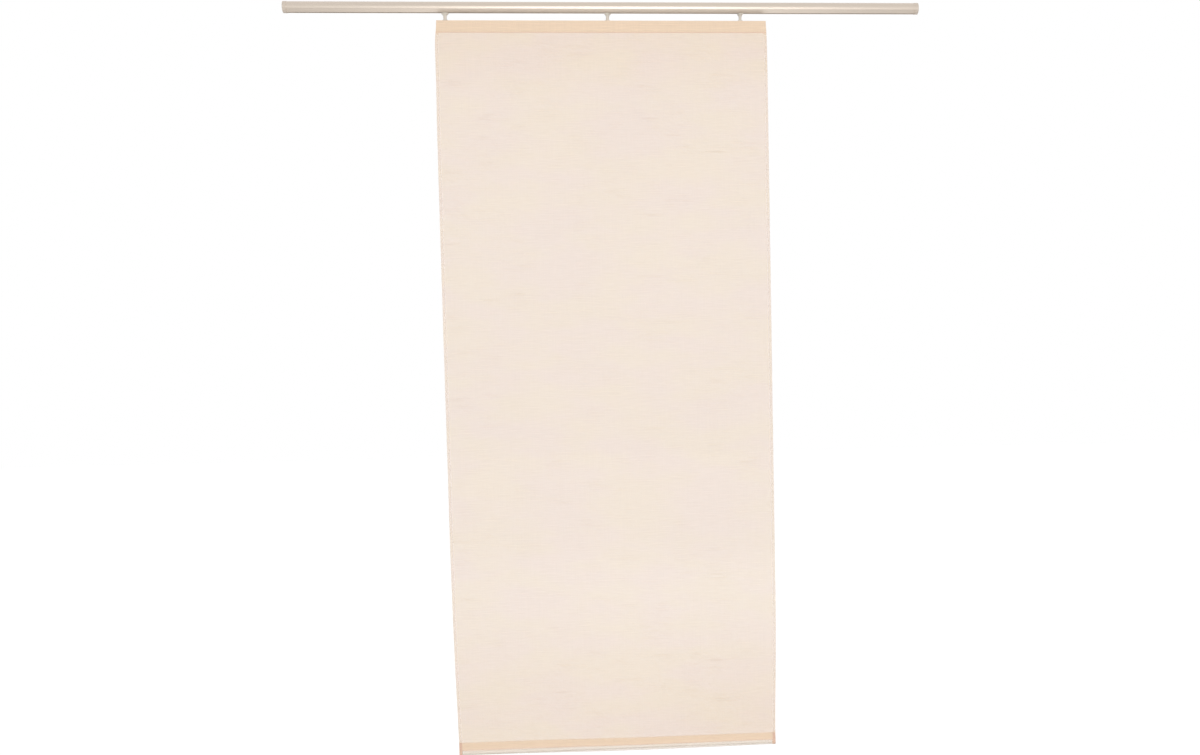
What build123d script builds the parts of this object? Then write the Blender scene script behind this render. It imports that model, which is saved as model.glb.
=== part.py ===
"""Sliding panel curtain: a flat cloth panel that hangs from a round rod with an inner track.

Frame: X runs along the rod, Z is up and the front of the cloth faces -Y. The origin is the middle of
the rod's axis. All sizes are in millimetres.

How it is built, from the top down:
- an extruded rod with a running track inside and a slot along its underside, and a round cap on each end
- three gliders whose round heads run in the track, each turning freely in a clip
- a carrier bar with a channel along its top, in which the clips' feet slide
- a hook tape glued on the carrier, and the loop tape sewn behind the cloth's header
- the cloth, with a doubled header, narrow side hems and a tunnel along its lower edge
- a round weight bar with two end caps in that tunnel
"""

from build123d import *
import math
import os

# Rod
ROD_LENGTH = 1160.0  # over both end caps
ROD_R = 10.0
ROD_WALL = 1.2
CAP_LENGTH = 7.0  # the round end of a cap that shows
CAP_LIP = 0.4  # how far a cap stands proud of the rod, all round
CAP_EDGE = 0.8
CAP_TONGUE = 14.0  # how far a cap's tongues reach into the rod
CAP_FIT = 0.1
SHOULDER_ANGLE = 28.0  # degrees below the horizontal where the round side ends
SHOULDER_STEP = 0.6
LIP_Z = -9.4  # the rod's flat underside
LIP_HALF = 3.1

# Running track in the rod
SLOT_WIDTH = 5.2
TRACK_WIDTH = 11.2
TRACK_FLOOR = -6.4
TRACK_HEIGHT = 4.0
TRACK_BEVEL = 1.2

# Gliders
PANEL_X = -7.0  # the panel's middle, from the rod's
# Which end of the carrier each glider is measured from (0 is its middle), how far along, and its turn
GLIDERS = {"left": (-1, 12.0, 0.0), "middle": (0, 9.6, 38.0), "right": (1, -43.0, -62.0)}
HEAD_SIDE_FIT = 0.4
HEAD_FLOOR_FIT = 0.1
HEAD_HEIGHT = 2.8
HEAD_ROUND = 0.6
NECK_R = 2.1
COLLAR_GAP = 0.4  # from the rod's underside to the collar
COLLAR_SIZE = (14.5, 9.0)
COLLAR_RIM = 1.2
WAIST_SIZE = (8.6, 6.4)
WAIST_DROP = 2.6
STEM_SIZE = (6.2, 4.8)
STEM_DROP = 5.2  # from the rim's lower side to the full length of taper
PIN_R = 1.65
PIN_FIT = 0.05
PRONG_R = 2.2
PRONG_HEIGHT = 1.1
PRONG_SLIT = 0.7
PRONG_SLIT_LENGTH = 5.0

# Cloth
CLOTH_WIDTH = 600.0
CLOTH_HEIGHT = 1359.0
CLOTH_T = 0.5
HEADER_TOP = -25.0
HEADER_HEIGHT = 21.5
SIDE_HEM = 5.0
TUNNEL_HEIGHT = 24.0
TUNNEL_TAPER = 2.0  # how far above its seam the tunnel's sides would meet
TUNNEL_HOLLOW = 7.0  # from the bar's top to the hollow's upper end

# Hook and loop tapes: each inset is from the cloth's side to the tape's end
TAPE_HEIGHT = 18.0
TAPE_DROP = 2.4  # from the header's top
HOOK_TAPE_T = 1.0
HOOK_TAPE_INSET = 6.0
LOOP_TAPE_T = 1.2
LOOP_TAPE_INSET = 4.0

# Carrier bar
CARRIER_INSET = 3.0  # from the cloth's side to the bar's end, which its cap covers
CARRIER_DROP = 0.8  # from the header's top
CARRIER_HEIGHT = 20.0
CARRIER_WALL = 1.2
CHANNEL_WIDTH = 9.0
CHANNEL_HEIGHT = 4.4
CHANNEL_SLOT = 6.4
BEAD_DEPTH = 2.6
CARRIER_CAP_T = 1.5
CARRIER_CAP_PLUG = 4.0
CARRIER_CAP_FIT = 0.15
CORNER_R = 0.6

# Clips between the gliders and the carrier
FOOT_LENGTH = 12.0
FOOT_HEIGHT = 2.6
FOOT_SIDE_FIT = 0.3
FOOT_ROUND = 2.0
CLIP_FIT = 0.1  # up and down, between a clip and the carrier's lips
CLIP_NECK_LENGTH = 8.0
CLIP_NECK_FIT = 0.2
FLANGE_SIZE = (13.4, 9.6)
FLANGE_T = 1.3
BOSS_R = (6.4, 3.9)  # at the flange, and at the top
BOSS_FLAT = 4.6  # half of its width from front to back
BOSS_HEIGHT = 2.6

# Weight bar
BAR_R = 4.0
BAR_WALL = 1.0
BAR_INSET = 7.0  # from the cloth's side to the bar's end, which its cap covers
BAR_FIT = 0.3  # all round, in the tunnel
BAR_CAP_HEAD = 1.8
BAR_CAP_PLUG = 8.0
BAR_CAP_FIT = 0.1

# Sizes and places that follow from those above
CARRIER_LENGTH = CLOTH_WIDTH - 2 * CARRIER_INSET
HOOK_TAPE_LENGTH = CLOTH_WIDTH - 2 * HOOK_TAPE_INSET
LOOP_TAPE_LENGTH = CLOTH_WIDTH - 2 * LOOP_TAPE_INSET
BAR_LENGTH = CLOTH_WIDTH - 2 * BAR_INSET
TRACK_ROOF = TRACK_FLOOR + TRACK_HEIGHT
COLLAR_TOP = LIP_Z - COLLAR_GAP
COLLAR_UNDER = COLLAR_TOP - COLLAR_RIM
CARRIER_TOP = HEADER_TOP - CARRIER_DROP
CARRIER_FRONT = -(CHANNEL_WIDTH / 2 + CARRIER_WALL)
CHANNEL_ROOF = CARRIER_TOP - CARRIER_WALL
CHANNEL_FLOOR = CHANNEL_ROOF - CHANNEL_HEIGHT
FLANGE_UNDER = CARRIER_TOP + CLIP_FIT
FLANGE_TOP = FLANGE_UNDER + FLANGE_T
BOSS_TOP = FLANGE_TOP + BOSS_HEIGHT
FOOT_TOP = CHANNEL_ROOF - CLIP_FIT
FOOT_UNDER = FOOT_TOP - FOOT_HEIGHT
CLOTH_BACK = CARRIER_FRONT - HOOK_TAPE_T - LOOP_TAPE_T - CLOTH_T  # of the single sheet
CLOTH_FRONT = CLOTH_BACK - CLOTH_T
CLOTH_MIDDLE = (CLOTH_BACK + CLOTH_FRONT) / 2
CLOTH_FOOT = HEADER_TOP - CLOTH_HEIGHT
SEAM_Z = CLOTH_FOOT + TUNNEL_HEIGHT
BAR_Z = CLOTH_FOOT + CLOTH_T + BAR_FIT + BAR_R


def along_x(profile, start, end):
    """A solid that runs along X, with its profile drawn in Y and Z."""
    return extrude(Plane.YZ.offset(start) * profile, end - start, dir=(1, 0, 0))


def rectangle(y_low, y_high, z_low, z_high):
    """A rectangle in Y and Z."""
    return Pos((y_low + y_high) / 2, (z_low + z_high) / 2) * Rectangle(y_high - y_low, z_high - z_low)


def block(size, x, y, z_low):
    """A block with its middle at x, y and its underside at z_low."""
    return Pos(x, y, z_low) * Box(*size, align=(Align.CENTER, Align.CENTER, Align.MIN))


def disc(radius, z_low, z_high):
    """A round post about the Z axis."""
    return Pos(0, 0, z_low) * Cylinder(radius, z_high - z_low, align=(Align.CENTER, Align.CENTER, Align.MIN))


def rod_outline():
    """Round over the top, with a small shoulder on each side and flat facets down to the slot's lips."""
    angle = math.radians(SHOULDER_ANGLE)
    out = (math.cos(angle), -math.sin(angle))
    edge = (ROD_R * out[0], ROD_R * out[1])
    ledge = ((ROD_R - SHOULDER_STEP) * out[0], (ROD_R - SHOULDER_STEP) * out[1])
    crown = ThreePointArc(edge, (0, ROD_R), (-edge[0], edge[1]))
    under = Polyline(
        (-edge[0], edge[1]),
        (-ledge[0], ledge[1]),
        (-LIP_HALF, LIP_Z),
        (LIP_HALF, LIP_Z),
        ledge,
        edge,
    )
    return make_face([crown, *under.edges()])


def track_section(clearance=0.0):
    """The running track's section, with bevelled lower corners."""
    half = TRACK_WIDTH / 2 - clearance
    low = TRACK_FLOOR + clearance
    high = TRACK_ROOF - clearance
    return Polygon(
        (-half, high),
        (half, high),
        (half, low + TRACK_BEVEL),
        (half - TRACK_BEVEL, low),
        (-half + TRACK_BEVEL, low),
        (-half, low + TRACK_BEVEL),
        align=None,
    )


def chamber_section(clearance=0.0):
    """The closed hollow over the track."""
    radius = ROD_R - ROD_WALL - clearance
    floor = TRACK_ROOF + ROD_WALL + clearance
    return Circle(radius) & rectangle(-ROD_R, ROD_R, floor, ROD_R)


def rod_tube():
    section = rod_outline() - chamber_section() - track_section()
    section -= rectangle(-SLOT_WIDTH / 2, SLOT_WIDTH / 2, LIP_Z - 1, TRACK_FLOOR + 1)
    half = ROD_LENGTH / 2 - CAP_LENGTH
    return along_x(section, -half, half)


def rod_cap(side):
    """A round cap whose two tongues fill the rod's hollow and stop the track."""
    inner = ROD_LENGTH / 2 - CAP_LENGTH
    outer = ROD_LENGTH / 2
    head = along_x(Circle(ROD_R + CAP_LIP), inner, outer)
    head = fillet(head.edges().group_by(Axis.X)[-1], CAP_EDGE)
    tongues = chamber_section(CAP_FIT) + track_section(CAP_FIT)
    cap = head + along_x(tongues, inner - CAP_TONGUE, inner)
    return cap if side > 0 else mirror(cap, Plane.YZ)


def glider():
    """Round head in the track, neck through the slot, funnel collar, stem, and a split pin for the clip."""
    head_low = TRACK_FLOOR + HEAD_FLOOR_FIT
    head = disc(TRACK_WIDTH / 2 - HEAD_SIDE_FIT, head_low, head_low + HEAD_HEIGHT)
    rims = head.edges().filter_by(GeomType.CIRCLE).sort_by(Axis.Z)
    head = chamfer(rims[0], TRACK_BEVEL)
    head = fillet(head.edges().filter_by(GeomType.CIRCLE).sort_by(Axis.Z)[-1], HEAD_ROUND)
    neck = disc(NECK_R, COLLAR_TOP, head_low)
    rim = extrude(Plane.XY.offset(COLLAR_TOP) * Ellipse(COLLAR_SIZE[0] / 2, COLLAR_SIZE[1] / 2), -COLLAR_RIM)
    steps = ((0.0, COLLAR_SIZE), (WAIST_DROP, WAIST_SIZE), (STEM_DROP, STEM_SIZE))
    funnel = loft([Plane.XY.offset(COLLAR_UNDER - drop) * Ellipse(w / 2, d / 2) for drop, (w, d) in steps])
    stem_top = COLLAR_UNDER - STEM_DROP
    stem_foot = BOSS_TOP + CLIP_FIT
    stem = extrude(Plane.XY.offset(stem_foot) * Ellipse(STEM_SIZE[0] / 2, STEM_SIZE[1] / 2), stem_top - stem_foot)
    prong_top = FOOT_UNDER - CLIP_FIT
    prong_foot = prong_top - PRONG_HEIGHT
    pin = disc(PIN_R, prong_top, stem_foot)
    prong = Pos(0, 0, (prong_top + prong_foot) / 2) * Cone(PIN_R - PRONG_SLIT / 2, PRONG_R, PRONG_HEIGHT)
    slit = block((2 * PRONG_R + 1, PRONG_SLIT, PRONG_SLIT_LENGTH), 0, 0, prong_foot)
    return head + neck + rim + funnel + stem + pin + prong - slit


def panel_clip():
    """Foot that slides in the carrier's channel, neck between the lips, flange on top and a bored boss."""
    foot_width = CHANNEL_WIDTH - 2 * FOOT_SIDE_FIT
    foot = block((FOOT_LENGTH, foot_width, FOOT_HEIGHT), 0, 0, FOOT_UNDER)
    foot = fillet(foot.edges().filter_by(Axis.Z), FOOT_ROUND)
    neck_width = CHANNEL_SLOT - 2 * CLIP_NECK_FIT
    neck = block((CLIP_NECK_LENGTH, neck_width, FLANGE_UNDER - FOOT_TOP), 0, 0, FOOT_TOP)
    flange = block((*FLANGE_SIZE, FLANGE_T), 0, 0, FLANGE_UNDER)
    flange = fillet(flange.edges().filter_by(Axis.Z), FOOT_ROUND)
    boss = Pos(0, 0, FLANGE_TOP + BOSS_HEIGHT / 2) * Cone(BOSS_R[0], BOSS_R[1], BOSS_HEIGHT)
    boss &= block((3 * BOSS_R[0], 2 * BOSS_FLAT, BOSS_HEIGHT), 0, 0, FLANGE_TOP)
    bore = disc(PIN_R + PIN_FIT, FOOT_UNDER - 1, BOSS_TOP + 1)
    return foot + neck + flange + boss - bore


def carrier_section():
    """A channel open along its top, with a plate hanging from its front wall and a bead along the plate."""
    back = -CARRIER_FRONT
    foot = CARRIER_TOP - CARRIER_HEIGHT
    shell = rectangle(CARRIER_FRONT, back, CHANNEL_FLOOR - CARRIER_WALL, CARRIER_TOP)
    shell = fillet(shell.vertices().group_by(Axis.X)[-1], CORNER_R)
    plate = rectangle(CARRIER_FRONT, CARRIER_FRONT + CARRIER_WALL, foot, CARRIER_TOP)
    bead = rectangle(CARRIER_FRONT, CARRIER_FRONT + BEAD_DEPTH, foot, foot + CARRIER_WALL)
    hollow = rectangle(-CHANNEL_WIDTH / 2, CHANNEL_WIDTH / 2, CHANNEL_FLOOR, CHANNEL_ROOF)
    slot = rectangle(-CHANNEL_SLOT / 2, CHANNEL_SLOT / 2, CHANNEL_ROOF - 1, CARRIER_TOP + 1)
    return shell + plate + bead - hollow - slot


def carrier_bar():
    return along_x(carrier_section(), PANEL_X - CARRIER_LENGTH / 2, PANEL_X + CARRIER_LENGTH / 2)


def carrier_end(side):
    """An end cap with the carrier's outline and a plug in its channel."""
    foot = CARRIER_TOP - CARRIER_HEIGHT
    outline = rectangle(CARRIER_FRONT, -CARRIER_FRONT, CHANNEL_FLOOR - CARRIER_WALL, CARRIER_TOP)
    outline = fillet(outline.vertices().group_by(Axis.X)[-1], CORNER_R)
    outline += rectangle(CARRIER_FRONT, CARRIER_FRONT + BEAD_DEPTH, foot, CARRIER_TOP)
    inner = CARRIER_LENGTH / 2
    plug = rectangle(
        -CHANNEL_WIDTH / 2 + CARRIER_CAP_FIT,
        CHANNEL_WIDTH / 2 - CARRIER_CAP_FIT,
        CHANNEL_FLOOR + CARRIER_CAP_FIT,
        CHANNEL_ROOF - CARRIER_CAP_FIT,
    )
    cap = along_x(outline, inner, inner + CARRIER_CAP_T) + along_x(plug, inner - CARRIER_CAP_PLUG, inner)
    return Pos(PANEL_X, 0, 0) * (cap if side > 0 else mirror(cap, Plane.YZ))


def tape(front, thickness, length):
    """A strip along the header, with its front face at y = front."""
    top = HEADER_TOP - TAPE_DROP
    section = rectangle(front, front + thickness, top - TAPE_HEIGHT, top)
    return along_x(section, PANEL_X - length / 2, PANEL_X + length / 2)


def teardrop(radius, tip):
    """A circle about the weight bar whose sides run up as tangents and meet at the tip."""
    reach = tip - BAR_Z
    lean = math.acos(radius / reach)
    side = radius * math.sin(lean)
    rise = BAR_Z + radius * math.cos(lean)
    low = (CLOTH_MIDDLE, BAR_Z - radius)
    bottom = ThreePointArc((CLOTH_MIDDLE + side, rise), low, (CLOTH_MIDDLE - side, rise))
    sides = Polyline((CLOTH_MIDDLE - side, rise), (CLOTH_MIDDLE, tip), (CLOTH_MIDDLE + side, rise))
    return make_face([bottom, *sides.edges()])


def panel_cloth():
    """One sheet: a header folded double, narrow side hems and the tunnel that wraps the weight bar."""
    sheet = rectangle(CLOTH_FRONT, CLOTH_BACK, SEAM_Z, HEADER_TOP)
    header = rectangle(CLOTH_BACK, CLOTH_BACK + CLOTH_T, HEADER_TOP - HEADER_HEIGHT, HEADER_TOP)
    hollow = teardrop(BAR_R + BAR_FIT, BAR_Z + BAR_R + TUNNEL_HOLLOW)
    tunnel = teardrop(BAR_R + BAR_FIT + CLOTH_T, SEAM_Z + TUNNEL_TAPER) - hollow
    half = CLOTH_WIDTH / 2
    cloth = along_x(sheet + header + tunnel, -half, half)
    hem = rectangle(CLOTH_BACK, CLOTH_BACK + CLOTH_T, SEAM_Z, HEADER_TOP - HEADER_HEIGHT)
    cloth += along_x(hem, -half, SIDE_HEM - half)
    cloth += along_x(hem, half - SIDE_HEM, half)
    return Pos(PANEL_X, 0, 0) * cloth


def weight_bar():
    half = BAR_LENGTH / 2
    ring = Circle(BAR_R) - Circle(BAR_R - BAR_WALL)
    return Pos(PANEL_X, 0, 0) * along_x(Pos(CLOTH_MIDDLE, BAR_Z) * ring, -half, half)


def weight_bar_cap(side):
    """A domed head and a plug in the bar's end."""
    end = BAR_LENGTH / 2
    place = Pos(CLOTH_MIDDLE, BAR_Z)
    head = along_x(place * Circle(BAR_R), end, end + BAR_CAP_HEAD)
    head = fillet(head.edges().group_by(Axis.X)[-1], BAR_CAP_HEAD * 0.8)
    plug = along_x(place * Circle(BAR_R - BAR_WALL - BAR_CAP_FIT), end - BAR_CAP_PLUG, end)
    cap = head + plug
    return Pos(PANEL_X, 0, 0) * (cap if side > 0 else mirror(cap, Plane.YZ))


def pieces():
    """Every piece of the curtain, by name."""
    found = {
        "rod_tube": rod_tube(),
        "rod_cap_left": rod_cap(-1),
        "rod_cap_right": rod_cap(1),
        "carrier_bar": carrier_bar(),
        "carrier_end_left": carrier_end(-1),
        "carrier_end_right": carrier_end(1),
        "hook_tape": tape(CARRIER_FRONT - HOOK_TAPE_T, HOOK_TAPE_T, HOOK_TAPE_LENGTH),
        "loop_tape": tape(CARRIER_FRONT - HOOK_TAPE_T - LOOP_TAPE_T, LOOP_TAPE_T, LOOP_TAPE_LENGTH),
        "panel_cloth": panel_cloth(),
        "weight_bar": weight_bar(),
        "weight_bar_cap_left": weight_bar_cap(-1),
        "weight_bar_cap_right": weight_bar_cap(1),
    }
    for name, (end, along, turn) in GLIDERS.items():
        spot = Pos(PANEL_X + end * CARRIER_LENGTH / 2 + along, 0, 0)
        found[f"glider_{name}"] = spot * Rot(0, 0, turn) * glider()
        found[f"panel_clip_{name}"] = spot * panel_clip()
    return found


os.makedirs("parts", exist_ok=True)
for node, solid in pieces().items():
    export_step(solid, f"parts/{node}.step")
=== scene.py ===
"""Sliding panel curtain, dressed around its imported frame.

A flat panel of thin slub voile hangs by three swivelling gliders from a round champagne rod with an
inner track. Frame: metres, X along the rod, Z up, the cloth's front faces -Y, and the origin is the
middle of the rod's axis. Sizes below are in millimetres, as in the part's own source.
"""

import logging
import math
from dataclasses import dataclass, field
from enum import Enum

import bpy
import numpy as np
from mathutils import Matrix, Vector
from mathutils.geometry import tessellate_polygon


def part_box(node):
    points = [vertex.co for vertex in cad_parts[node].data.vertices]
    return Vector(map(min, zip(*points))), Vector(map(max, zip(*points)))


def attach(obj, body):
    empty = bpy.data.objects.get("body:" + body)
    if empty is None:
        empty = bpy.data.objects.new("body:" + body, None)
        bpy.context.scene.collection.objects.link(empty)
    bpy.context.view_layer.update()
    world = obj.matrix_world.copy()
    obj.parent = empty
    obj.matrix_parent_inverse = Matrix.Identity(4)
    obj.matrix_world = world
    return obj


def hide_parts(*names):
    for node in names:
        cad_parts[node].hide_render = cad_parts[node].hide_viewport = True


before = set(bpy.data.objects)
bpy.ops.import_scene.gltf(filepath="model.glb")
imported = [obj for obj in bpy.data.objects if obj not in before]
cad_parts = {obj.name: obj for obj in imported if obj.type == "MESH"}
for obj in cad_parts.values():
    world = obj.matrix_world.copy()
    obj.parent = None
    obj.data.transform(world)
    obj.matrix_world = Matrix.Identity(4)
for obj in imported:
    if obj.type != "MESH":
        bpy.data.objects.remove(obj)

MM = 0.001
FLAT_MAP = "flat"  # the UV map that holds the cloth's flat coordinates, in metres
DEPTH = "depth"  # the point attribute that says where the cloth is folded double, and where painted shade lines lie
COVER = "cover"  # the point attribute that says how closely the cloth covers what is behind it
Triple = tuple[float, float, float]
Colour = Triple
Table = tuple[Triple, ...]

logging.basicConfig(level=logging.INFO, format="%(message)s")
log = logging.getLogger("curtain")


def linear(red: int, green: int, blue: int) -> Colour:
    """Turns an 8-bit screen colour into the linear colour that a shader takes."""
    screen = np.array([red, green, blue]) / 255
    curve = np.where(screen <= 0.04045, screen / 12.92, ((screen + 0.055) / 1.055) ** 2.4)
    return tuple(float(part) for part in curve)


# ---- Outlines and surfaces


def rounded(corners: np.ndarray, radii: np.ndarray, steps: int, closed: bool = True) -> np.ndarray:
    """Rounds a polyline's corners with arcs.

    Each corner is replaced by an arc that is tangent to both of its sides: it starts and ends
    radius * tan(turn / 2) from the corner, and its centre lies on the bisector.

    Args:
        corners: The polyline's corners, one row each.
        radii: The arc's radius at each corner. 0 keeps the corner.
        steps: How many parts each arc is divided into.
        closed: Whether the last corner joins the first.

    Returns:
        The rounded polyline, one row for each point.
    """
    before = np.roll(corners, 1, axis=0)
    after = np.roll(corners, -1, axis=0)
    into = corners - before
    out = after - corners
    into /= np.maximum(np.linalg.norm(into, axis=1, keepdims=True), 1e-9)
    out /= np.maximum(np.linalg.norm(out, axis=1, keepdims=True), 1e-9)
    turn = np.arctan2(into[:, 0] * out[:, 1] - into[:, 1] * out[:, 0], (into * out).sum(1))
    left = np.stack([-into[:, 1], into[:, 0]], 1) * np.sign(turn)[:, None]
    start = corners - into * (radii * np.tan(np.abs(turn) / 2))[:, None]
    centre = start + left * radii[:, None]
    swept = np.abs(turn)[:, None] * np.linspace(0, 1, steps + 1)[None, :]
    arcs = (
        centre[:, None, :]
        - left[:, None, :] * (radii[:, None] * np.cos(swept))[..., None]
        + into[:, None, :] * (radii[:, None] * np.sin(swept))[..., None]
    )
    kept = [arcs[i] if radii[i] > 0 else corners[i : i + 1] for i in range(len(corners))]
    if not closed:
        kept[0], kept[-1] = corners[:1], corners[-1:]
    return np.concatenate(kept)


def divided(path: np.ndarray, spacing: float | np.ndarray) -> np.ndarray:
    """Adds points along a polyline, so that no two neighbours are further apart than the spacing.

    Args:
        path: The polyline's points, one row each.
        spacing: The furthest that neighbours may be apart, one for all sides or one for each.

    Returns:
        The polyline with its sides divided evenly.
    """
    lengths = np.linalg.norm(np.diff(path, axis=0), axis=1)
    counts = np.maximum(1, np.ceil(lengths / spacing)).astype(int)
    shares = np.concatenate([np.arange(n) / n for n in counts])
    starts = np.repeat(np.arange(len(counts)), counts)
    points = path[starts] + (path[starts + 1] - path[starts]) * shares[:, None]
    return np.concatenate([points, path[-1:]])


def sides_of(path: np.ndarray) -> np.ndarray:
    """The unit direction to the left of a polyline at each of its points."""
    along = np.gradient(path, axis=0)
    along /= np.maximum(np.linalg.norm(along, axis=1, keepdims=True), 1e-12)
    return np.stack([-along[:, 1], along[:, 0]], 1)


def run_length(path: np.ndarray) -> np.ndarray:
    """The length along a polyline up to each of its points."""
    steps = np.linalg.norm(np.diff(path, axis=0), axis=1)
    return np.concatenate([[0.0], np.cumsum(steps)])


def ease(value: np.ndarray, low: float, high: float) -> np.ndarray:
    """Rises smoothly from 0 at low to 1 at high: 3t^2 - 2t^3, with t the share of the way."""
    share = np.clip((value - low) / (high - low), 0, 1)
    return share * share * (3 - 2 * share)


def ring_quads(rows: int, columns: int) -> np.ndarray:
    """Faces between rings of points, where the last column joins the first."""
    row, column = np.meshgrid(np.arange(rows - 1), np.arange(columns), indexing="ij")
    following = (column + 1) % columns
    corners = [
        row * columns + column,
        row * columns + following,
        (row + 1) * columns + following,
        (row + 1) * columns + column,
    ]
    return np.stack(corners, -1).reshape(-1, 4)


@dataclass
class ClothMarks:
    """What each point of the cloth carries besides its place."""

    flat: np.ndarray  # its flat coordinates in millimetres
    depth: np.ndarray  # how far it is doubled, from 0 to 1
    cover: np.ndarray  # how closely it covers, where 1 is usual


class Skin:
    """Collects closed patches of points and faces, then writes them as one mesh."""

    def __init__(self) -> None:
        """Starts with nothing."""
        self.points: list[np.ndarray] = []
        self.quads: list[np.ndarray] = []
        self.triangles: list[np.ndarray] = []
        self.marks: list[ClothMarks] = []
        self.count = 0

    def add(
        self,
        points: np.ndarray,
        quads: np.ndarray,
        triangles: np.ndarray,
        marks: ClothMarks | None = None,
    ) -> None:
        """Adds one closed patch and turns its faces outward.

        The patch's signed volume is the sum of a . (b x c) / 6 over its triangles. Where it is
        negative, every face is reversed.

        Args:
            points: The patch's points in millimetres.
            quads: Its four-sided faces, as rows of indices into its points.
            triangles: Its three-sided faces.
            marks: What its points carry, or None for X and Z, single and usual.
        """
        halves = np.concatenate([triangles, quads[:, [0, 1, 2]], quads[:, [0, 2, 3]]])
        a, b, c = (points[halves[:, k]] for k in range(3))
        if (a * np.cross(b, c)).sum() < 0:
            quads, triangles = quads[:, ::-1], triangles[:, ::-1]
        self.points.append(points)
        self.quads.append(quads + self.count)
        self.triangles.append(triangles + self.count)
        total = len(points)
        self.marks.append(marks or ClothMarks(points[:, [0, 2]], np.zeros(total), np.ones(total)))
        self.count += total

    def add_tube(self, rings: np.ndarray, marks: ClothMarks | None = None) -> None:
        """Adds a tube of rings with both ends closed.

        Each end of the cloth is closed with a strip across its flattened ring, any other with a fan.

        Args:
            rings: The rings' points, as an array of rings, points on each and X, Y, Z.
            marks: What the cloth's points carry, or None for any other tube.
        """
        rows, columns = rings.shape[:2]
        points = rings.reshape(-1, 3)
        quads = ring_quads(rows, columns)
        last = (rows - 1) * columns
        if marks:
            near = np.arange(columns // 2 - 1)
            far = columns - 1 - near
            strip = np.stack([near, far, far - 1, near + 1], 1)
            quads = np.concatenate([quads, strip, strip[:, ::-1] + last])
            triangles = np.zeros((0, 3), int)
        else:
            edge = np.arange(columns)
            following = np.roll(edge, -1)
            ends = np.stack([rings[0].mean(0), rings[-1].mean(0)])
            first = np.full(columns, len(points))
            triangles = np.concatenate(
                [
                    np.stack([first, following, edge], 1),
                    np.stack([first + 1, edge + last, following + last], 1),
                ]
            )
            points = np.concatenate([points, ends])
        self.add(points, quads, triangles, marks)

    def build(self, name: str, finish: "Finish", smooth: float = 35.0) -> bpy.types.Object:
        """Writes the mesh and its object.

        Args:
            name: The object's name.
            finish: What the piece is dressed in.
            smooth: Edges sharper than this angle, in degrees, stay crisp.

        Returns:
            The new object, at the origin and in the scene.
        """
        points = np.concatenate(self.points) * MM
        quads, triangles = np.concatenate(self.quads), np.concatenate(self.triangles)
        loops = np.concatenate([quads.reshape(-1), triangles.reshape(-1)]).astype(np.int32)
        sizes = np.concatenate([np.full(len(quads), 4), np.full(len(triangles), 3)]).astype(np.int32)
        mesh = bpy.data.meshes.new(name)
        mesh.vertices.add(len(points))
        mesh.vertices.foreach_set("co", points.astype(np.float32).reshape(-1))
        mesh.loops.add(len(loops))
        mesh.loops.foreach_set("vertex_index", loops)
        mesh.polygons.add(len(sizes))
        mesh.polygons.foreach_set("loop_start", (np.cumsum(sizes) - sizes).astype(np.int32))
        mesh.polygons.foreach_set("use_smooth", np.ones(len(sizes), bool))
        mesh.update(calc_edges=True)
        flat = np.concatenate([marks.flat for marks in self.marks])[loops] * MM
        mesh.uv_layers.new(name=FLAT_MAP).data.foreach_set("uv", flat.astype(np.float32).reshape(-1))
        for label in (DEPTH, COVER):
            values = np.concatenate([getattr(marks, label) for marks in self.marks])
            layer = mesh.attributes.new(label, "FLOAT", "POINT")
            layer.data.foreach_set("value", values.astype(np.float32))
        mesh.set_sharp_from_angle(angle=math.radians(smooth))
        mesh.validate()
        mesh.materials.append(finish.material())
        piece = bpy.data.objects.new(name, mesh)
        bpy.context.scene.collection.objects.link(piece)
        log.info("%s: %d points, %d faces", name, len(points), len(sizes))
        return piece


def add_extrusion(skin: Skin, loops: list[np.ndarray], start: float, end: float) -> None:
    """Adds a bar that runs along X with one section all the way.

    Each loop of the section is carried from start to end. The first loop is the outside and runs
    anticlockwise, the others are hollows and run clockwise, so that every side faces out of the
    metal, and each end is closed with the triangles of the section.

    Args:
        skin: Where the bar is added.
        loops: The section's loops in Y and Z.
        start: The bar's lower end on X.
        end: Its upper end.
    """
    wound = []
    for index, loop in enumerate(loops):
        following = np.roll(loop, -1, axis=0)
        area = (loop[:, 0] * following[:, 1] - loop[:, 1] * following[:, 0]).sum()
        wound.append(loop if (area > 0) == (index == 0) else loop[::-1])
    section = np.concatenate(wound)
    total = len(section)
    near = np.column_stack([np.full(total, start), section])
    far = np.column_stack([np.full(total, end), section])
    quads, offset = [], 0
    for loop in wound:
        edge = np.arange(len(loop)) + offset
        following = np.roll(edge, -1)
        quads.append(np.stack([edge, following, following + total, edge + total], 1))
        offset += len(loop)
    fill = tessellate_polygon([[Vector((y, z, 0)) for y, z in loop] for loop in wound])
    fill = np.array(fill)
    a, b, c = (section[fill[:, k]] for k in range(3))
    spin = (b[:, 0] - a[:, 0]) * (c[:, 1] - a[:, 1]) - (b[:, 1] - a[:, 1]) * (c[:, 0] - a[:, 0])
    fill[spin < 0] = fill[spin < 0][:, ::-1]
    triangles = np.concatenate([fill + total, fill[:, ::-1]])
    skin.add(np.concatenate([near, far]), np.concatenate(quads), triangles)


# ---- Shader work


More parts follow.
